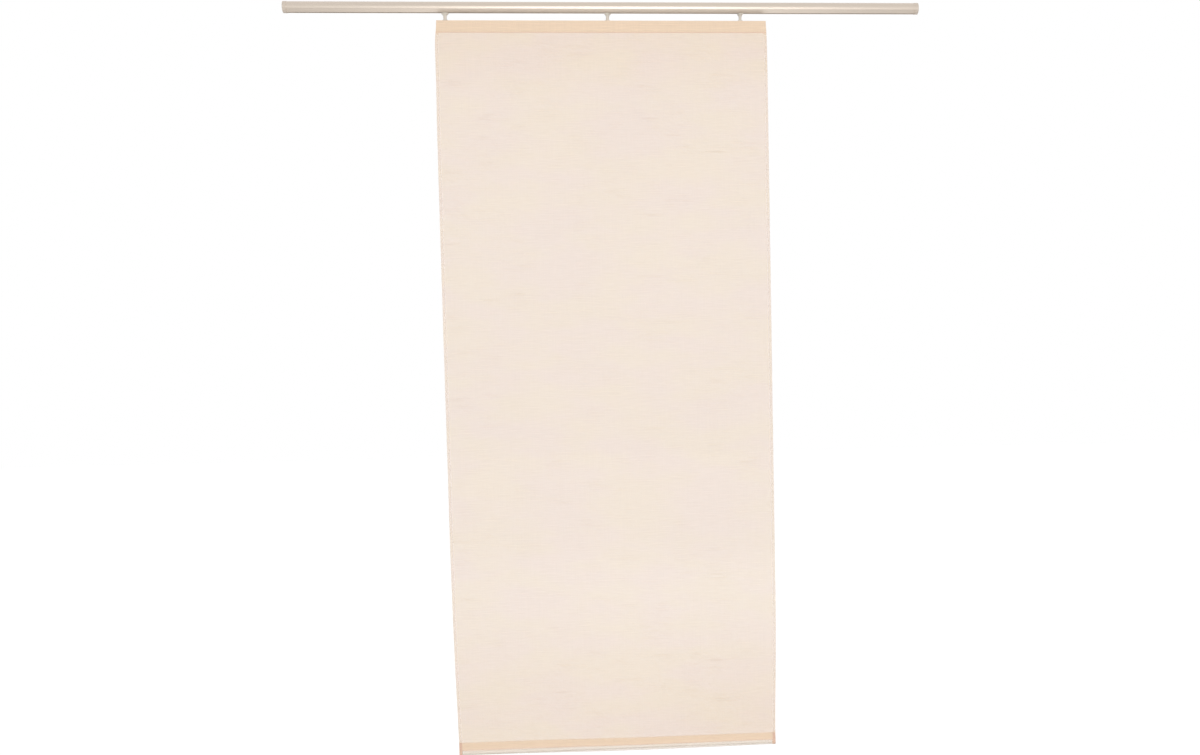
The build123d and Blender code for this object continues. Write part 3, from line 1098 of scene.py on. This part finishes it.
    def doubling(self, ring: np.ndarray, z: np.ndarray) -> np.ndarray:
        """How far the cloth is doubled, with painted shade lines: 0 where single, 0.5 where folded, 1
        in a painted shade line along a crease or seam.

        Args:
            ring: The ring round the widthwise path, as X and the height above the cloth's face.
            z: The height of each point of the lengthwise path.

        Returns:
            One value for each point, as rows down the cloth.
        """
        tunnel = self.in_tunnel(z)
        folded = self.in_header(z) + tunnel * (1 - ease(self.seam - self.seam_band - z, 0, 2.0))
        # Painted shade lines along the creases and seams, which darken the colour
        lines = np.zeros_like(z)
        for place, width, depth in self.shade_lines:
            lines = np.maximum(lines, depth * np.exp(-(((z - place) / width) ** 2)))
        ends = self.hems(ring)[None, :] * tunnel[:, None]
        return np.clip((0.5 * folded + lines)[:, None] + 0.9 * ends, 0, 1)

    def in_header(self, z: np.ndarray) -> np.ndarray:
        """1 in the header and 0 below it."""
        return 1 - ease(self.top - z, self.header - 0.4, self.header + 0.8)

    def in_tunnel(self, z: np.ndarray) -> np.ndarray:
        """0 above the tunnel's seam and 1 below it."""
        return ease(self.seam + 1.0 - z, 0, 1.6)

    def hems(self, ring: np.ndarray) -> np.ndarray:
        """1 in the side hems and 0 between them."""
        return ease(np.abs(ring[:, 0]), self.width / 2 - 5.6, self.width / 2 - 4.9)

    def covering(self, ring: np.ndarray, z: np.ndarray) -> np.ndarray:
        """How closely the cloth covers at each of its points, where 1 is usual.

        The cloth covers more in the doubled header and tunnel, and a little more, so that it looks a
        little darker, toward its top and its foot and most of all toward the lower right. It covers
        less in the side hems, whose threads are drawn, and thinly where it is strained over the bar.

        Args:
            ring: The ring round the widthwise path, as X and the height above the cloth's face.
            z: The height of each point of the lengthwise path.

        Returns:
            One value for each point, as rows down the cloth.
        """
        drop = self.top - z
        # More cover toward the top, the foot and the lower right makes the cloth look darker there
        extra_cover = sum(amount * ease(drop, start, end) for amount, start, end in self.cover_rises)
        extra_cover += self.header_cover * self.in_header(z) + self.tunnel_cover * self.in_tunnel(z)
        strained = self.strain * ease(self.bar_z + self.bar_room + 1.2 - z, 0, 1.4)
        plain = (ease(drop, self.header, self.header + 6) * (1 - ease(drop, 1330, 1336)))[:, None]
        hem = self.hems(ring)[None, :]
        right = ease(ring[:, 0], 0, self.width / 2)[None, :] * ease(drop, 1100, 1330)[:, None]
        whole = (1 + extra_cover - strained)[:, None] + self.corner_cover * right * plain
        return whole * (1 - self.drawn * hem * plain) + hem * strained[:, None]

    def hang(self, points: np.ndarray) -> np.ndarray:
        """Moves flat-hung points to how the real cloth hangs.

        The header is held straight by its tape, below it the sides spread and bow out, long shallow
        waves run down the cloth and fade out at the header and the tunnel, the cloth hangs a little
        longer on its right, the tunnel sags a little under its bar, and its empty left end droops.

        Args:
            points: Points on the cloth in millimetres, as X, Y and Z along the last axis.

        Returns:
            The moved points.
        """
        x, y, z = (points[..., k].copy() for k in range(3))
        u = (x - self.middle) / (self.width / 2)
        share = (self.top - z) / (self.top - self.foot)
        table = np.array(self.sides)
        steps = (-9.0, -3.0, 3.0, 9.0)  # the outline is smoothed over these
        left, right = (
            np.mean([np.interp(step - z, -table[:, 0], table[:, k]) for step in steps], axis=0)
            for k in (1, 2)
        )
        x = x + np.where(u < 0, -left, right) * np.abs(u) ** 3
        calm = ease(share, 0.035, 0.2) * ease(1 - share, 0.02, 0.16)
        slow = np.sin(3.1 * u + 0.9 + 0.8 * share) + 0.5 * np.sin(7.3 * u + 2.2 - 1.3 * share)
        quick = self.quick_wave * np.sin(17.0 * u + 1.1 * np.sin(3 * share)) * (1 - share)
        edge = self.edge_wave * np.abs(u) ** 8 * np.sin(0.061 * z + 2.0 * u)
        place, width, depth = self.fold_mark
        crease = depth * np.exp(-(((u - place) / width) ** 2))
        crease = crease * ease(-z, 90, 140) * ease(z, -330, -220)
        y = y + calm * (self.wave * slow + quick + edge) - crease
        droop = self.droop * ease(-u, 0.980, 0.992) * ease(-z, 1366.0, 1380.0)
        longer = self.longer * ease(u, -0.6, 0.2) * ease(-z, 300.0, 1350.0)
        longer = longer * (1 - 0.5 * ease(-z, 1366.0, 1376.0))
        sag = self.sag * (1 - u * u) * ease(u, -0.9, -0.1) * ease(-z, 1376.0, 1383.0)
        z = z - droop - sag - longer
        return np.stack([x, y, z], -1)

    def build(self) -> bpy.types.Object:
        over, down = self.across(), self.along()
        over_side, down_side = sides_of(over), sides_of(down)
        half = self.thickness / 2
        ring = np.concatenate([over - over_side * half, (over + over_side * half)[::-1]])
        rise = ring[:, 1]
        rings = np.empty((len(down), len(ring), 3))
        rings[..., 0] = ring[None, :, 0] + self.middle
        rings[..., 1:] = down[:, None, :] + down_side[:, None, :] * rise[None, :, None]
        across_flat = run_length(over)
        down_flat = run_length(down)
        flat = np.empty((len(down), len(ring), 2))
        flat[..., 0] = np.concatenate([across_flat, across_flat[::-1]])[None]
        flat[..., 1] = down_flat[:, None]
        depth, cover = (work(ring, down[:, 1]).reshape(-1) for work in (self.doubling, self.covering))
        skin = Skin()
        skin.add_tube(self.hang(rings), ClothMarks(flat.reshape(-1, 2), depth, cover))
        piece = skin.build("panel_voile", VOILE, smooth=50.0)
        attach(piece, "panel")
        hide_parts("panel_cloth")
        self.cut = (float(across_flat[-1]) * MM, float(down_flat[-1]) * MM)
        log.info("the cloth's flat cut is %.4f by %.4f m", *self.cut)
        return piece


class StitchSide(Enum):
    """Which face of the cloth a row of stitches lies on. The value is its direction on Y."""

    FRONT = -1
    BACK = 1


@dataclass
class StitchRow:
    """One straight row of lockstitches."""

    start: tuple[float, float]  # X from the cloth's middle, and Z
    end: tuple[float, float]
    y: float
    side: StitchSide
    length: float = 2.7
    gap: float = 0.45
    thick: float = 0.09
    rise: float = 0.16
    dip: float = 0.06
    ends: int = 5
    around: int = 5

    def add_to(self, skin: Skin, cloth: Cloth) -> None:
        """Adds the row's stitches, each a short tube that rises from one hole and dips into the next.

        The middle of a stitch rises as sin(pi t) of its length and its radius as the square root of
        that, and all the stitches are placed by one array sum.

        Args:
            skin: Where the stitches are added.
            cloth: The cloth that they follow.
        """
        start = np.array([self.start[0] + cloth.middle, self.y, self.start[1]])
        end = np.array([self.end[0] + cloth.middle, self.y, self.end[1]])
        reach = np.linalg.norm(end - start)
        ahead = (end - start) / reach
        out = np.array([0.0, float(self.side.value), 0.0])
        beside = np.cross(ahead, out)
        count = int(reach / (self.length + self.gap))
        places = start + ahead * ((np.arange(count) + 0.5) * (reach / count))[:, None]
        share = np.linspace(0.03, 0.97, self.ends)
        arch = np.sin(np.pi * share)
        angle = np.linspace(0, 2 * np.pi, self.around, endpoint=False)
        lift = self.rise * arch - self.dip
        spine = ahead * ((share - 0.5) * self.length)[:, None] + out * lift[:, None]
        circle = beside * np.cos(angle)[:, None] + out * np.sin(angle)[:, None]
        one = spine[:, None, :] + circle[None] * (self.thick * np.sqrt(arch))[:, None, None]
        every = places[:, None, None, :] + one[None]
        points = cloth.hang(every).reshape(-1, 3)
        quads = ring_quads(self.ends, self.around)
        fan = np.arange(1, self.around - 1)
        near = np.stack([np.zeros_like(fan), fan + 1, fan], 1)
        far = near[:, ::-1] + (self.ends - 1) * self.around
        faces = np.concatenate([near, far])
        step = (np.arange(count) * self.ends * self.around)[:, None, None]
        skin.add(points, (quads[None] + step).reshape(-1, 4), (faces[None] + step).reshape(-1, 3))


@dataclass
class Sewing:
    """All the rows of stitches that hold the cloth's folds and its tape."""

    cloth: Cloth
    inset: float = 4.0  # of a side hem's row, from the cloth's edge
    short: float = 2.5  # of the end of a row across, from the cloth's edge
    below_header: float = 1.5  # where a side hem's row starts
    above_seam: float = 2.0  # and where it ends
    below_seam: float = 1.2  # where the tunnel's row is
    proud: tuple[float, float] = (0.25, 0.1)  # how far that stands off the front and the back

    def build(self) -> list[bpy.types.Object]:
        """Makes the rows along the header, the side hems and the tunnel."""
        cloth = self.cloth
        half = cloth.width / 2
        reach = half - self.short
        top, low = cloth.top - cloth.header - self.below_header, cloth.seam + self.above_seam
        seam = cloth.seam - self.below_seam
        front = cloth.front
        hem_back = front + cloth.thickness + cloth.pitch
        tunnel_back = front + cloth.thickness + cloth.tunnel_layers * cloth.pitch
        faces = ((front, StitchSide.FRONT), (hem_back, StitchSide.BACK))
        tunnel_faces = (
            (front - self.proud[0], StitchSide.FRONT),
            (tunnel_back + self.proud[1], StitchSide.BACK),
        )
        rows = {
            "header": [
                StitchRow((-reach, z), (reach, z), front, StitchSide.FRONT) for z in cloth.stitch_rows
            ],
            "sides": [
                StitchRow((x, top), (x, low), y, side)
                for x in (self.inset - half, half - self.inset)
                for y, side in faces
            ],
            "tunnel": [StitchRow((-reach, seam), (reach, seam), y, side) for y, side in tunnel_faces],
        }
        made = []
        for name, several in rows.items():
            skin = Skin()
            for row in several:
                row.add_to(skin, cloth)
            piece = skin.build(f"stitches_{name}", SEWING_THREAD, smooth=80.0)
            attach(piece, "panel")
            made.append(piece)
        return made


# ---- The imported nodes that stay, the studio and the camera


@dataclass
class Fittings:
    """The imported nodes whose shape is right, and what each is dressed in."""

    finishes: dict[str, Finish] = field(
        default_factory=lambda: {
            "rod_cap": CHAMPAGNE_CAP,
            "panel_clip": MILKY_WHITE,
            "carrier_end": PLAIN_WHITE,
            "weight_bar_cap": PLAIN_WHITE,
            "weight_bar": COATED_STEEL,
        }
    )

    def dress(self) -> None:
        """Puts each finish in its nodes' material slots."""
        for name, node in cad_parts.items():
            kinds = [kind for kind in self.finishes if name.startswith(kind)]
            if kinds:
                node.material_slots[0].material = self.finishes[max(kinds, key=len)].material()
                log.info("%s: dressed", name)


@dataclass(frozen=True)
class Lamp:
    """A soft rectangular lamp, which the camera doesn't see."""

    name: str
    place: Triple
    aim: Triple
    size: tuple[float, float]
    power: float  # watts

    def build(self) -> None:
        """Hangs the lamp at its place and turns it to its aim."""
        lamp = bpy.data.lights.new(self.name, "AREA")
        lamp.shape = "RECTANGLE"
        lamp.size, lamp.size_y = self.size
        lamp.energy = self.power
        holder = bpy.data.objects.new(self.name, lamp)
        holder.location = self.place
        holder.visible_camera = False
        way = Vector(self.aim) - Vector(self.place)
        holder.rotation_euler = way.to_track_quat("-Z", "Y").to_euler()
        bpy.context.scene.collection.objects.link(holder)


@dataclass
class Studio:
    """A pale floor with a painted glow that shiny things see, a soft lamp in front, a weaker one behind
    and a white background.
    """

    floor_z: float = -1.47
    floor_half: float = 9.0
    floor_colour: Colour = (0.47, 0.467, 0.463)
    lift: float = 0.655  # what the camera sees of the floor over its lit colour
    around: float = 0.74  # the room's light on everything that isn't shiny
    ahead: float = 0.92  # what shiny things mirror of the room in front
    astern: float = 1.0  # and of the white background
    turning: tuple[float, float] = (-0.6, 0.8)  # the directions along Y between which that changes
    painted_floor_glow: tuple[float, float] = (1.30, 0.45)  # painted light: a glow on the floor that only shiny things see, near and far
    pool: tuple[float, float] = (0.25, 1.0)  # from where to where that painted glow fades
    lamps: tuple[Lamp, ...] = (
        Lamp("front softbox", (0.12, -3.0, -0.54), (0.05, 0.0, -0.6), (0.92, 1.8), 28.5),
        Lamp("back fill", (0.9, 2.4, 0.4), (0.0, 0.0, -0.7), (1.6, 1.6), 9.0),
    )

    def build(self) -> None:
        """Sets up the floor, the lamps and the world."""
        self.lay_floor()
        for lamp in self.lamps:
            lamp.build()
        self.paint_world()

    def lay_floor(self) -> None:
        """A wide floor. What the camera sees of it is lifted to white, and keeps the shadow. Shiny
        things see a painted pool of light on it, brightest near the rod.
        """
        half, z = self.floor_half, self.floor_z
        mesh = bpy.data.meshes.new("floor")
        corners = [(-half, -half, z), (half, -half, z), (half, half, z), (-half, half, z)]
        mesh.from_pydata(corners, [], [(0, 1, 2, 3)])
        material = bpy.data.materials.new("studio floor")
        material.use_nodes = True
        draft = ShaderDraft(material.node_tree)
        path = draft.node("ShaderNodeLightPath").outputs
        seen = draft.maths("MAXIMUM", path["Is Camera Ray"], path["Is Transmission Ray"])
        reach = draft.node("ShaderNodeVectorMath", operation="LENGTH")
        draft.feed(reach.inputs[0], draft.stretched(draft.place(), (1.0, 0.35, 0.0)))
        # Painted light: a pool of glow near the rod, seen only in reflections, that brightens the rod's
        # lower facets
        pool = draft.spread(reach.outputs["Value"], *self.pool, *self.painted_floor_glow)
        mirrored = draft.times(path["Is Glossy Ray"], pool)
        values = {
            "Roughness": 0.9,
            "Specular IOR Level": 0.1,
            "Base Color": self.floor_colour,
            "Emission Color": (1.0, 1.0, 1.0),
            "Emission Strength": draft.maths("MAXIMUM", draft.times(seen, self.lift), mirrored),
        }
        draft.fill(material.node_tree.nodes["Principled BSDF"], values)
        mesh.materials.append(material)
        floor = bpy.data.objects.new("floor", mesh)
        bpy.context.scene.collection.objects.link(floor)

    def paint_world(self) -> None:
        """White for the camera, and for the rest a soft room, which shiny things see a little lighter
        toward the back.
        """
        world = bpy.data.worlds.new("studio")
        world.use_nodes = True
        bpy.context.scene.world = world
        draft = ShaderDraft(world.node_tree)
        _, ahead, _ = draft.axes(draft.node("ShaderNodeTexCoord").outputs["Generated"])
        mirrored = draft.spread(ahead, *self.turning, self.ahead, self.astern)
        path = draft.node("ShaderNodeLightPath").outputs
        seen = draft.maths("MAXIMUM", path["Is Camera Ray"], path["Is Transmission Ray"])
        room = draft.choose(path["Is Glossy Ray"], self.around, mirrored)
        values = {"Strength": draft.choose(seen, room, 1.0), "Color": (1.0, 1.0, 1.0)}
        draft.fill(world.node_tree.nodes["Background"], values)


@dataclass
class PhotoCamera:
    """The photograph's viewpoint, fitted to the panel's corners and the rod's ends."""

    place: Triple = (-0.0309, -2.3496, -0.6513)
    yaw: float = 4.056  # degrees
    pitch: float = -4.327
    roll: float = 0.996
    focal: float = 1250.0  # pixels
    centre: tuple[float, float] = (87.6, 80.2)  # of the lens, from the middle of the frame in pixels
    frame_size: tuple[int, int] = (1200, 755)
    sensor: float = 36.0

    def build(self) -> bpy.types.Object:
        """Makes the camera and looks through it."""
        yaw, pitch, roll = (math.radians(angle) for angle in (self.yaw, self.pitch, self.roll))
        level_share = math.cos(pitch)
        ahead = Vector((math.sin(yaw) * level_share, math.cos(yaw) * level_share, math.sin(pitch)))
        level = Vector((math.cos(yaw), -math.sin(yaw), 0.0))
        down = ahead.cross(level)
        right = math.cos(roll) * level + math.sin(roll) * down
        below = -math.sin(roll) * level + math.cos(roll) * down
        lens = bpy.data.cameras.new("photo camera")
        lens.sensor_width = self.sensor
        lens.lens = self.sensor * self.focal / self.frame_size[0]
        lens.shift_x = -self.centre[0] / self.frame_size[0]
        lens.shift_y = self.centre[1] / self.frame_size[0]
        lens.clip_start, lens.clip_end = 0.05, 60.0
        camera = bpy.data.objects.new("photo camera", lens)
        turn = Matrix((right, -below, -ahead)).transposed()
        camera.matrix_world = Matrix.Translation(Vector(self.place)) @ turn.to_4x4()
        bpy.context.scene.collection.objects.link(camera)
        bpy.context.scene.camera = camera
        return camera


def main() -> None:
    """Builds the curtain and its studio."""
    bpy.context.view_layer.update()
    PhotoCamera().build()
    Studio().build()
    Rod().build()
    for side, turn in (("left", 0.0), ("middle", 38.0), ("right", -62.0)):
        Glider(side, turn).build()
    Carrier().build()
    Tape("hook_tape", -1, HOOK_PILE).build()
    Tape("loop_tape", 1, LOOP_PILE, seed=8).build()
    cloth = Cloth()
    voile = cloth.build()
    stitches = Sewing(cloth).build()
    Fittings().dress()
    bpy.context.scene.view_settings.view_transform = "Standard"


if __name__ == "__main__":
    main()
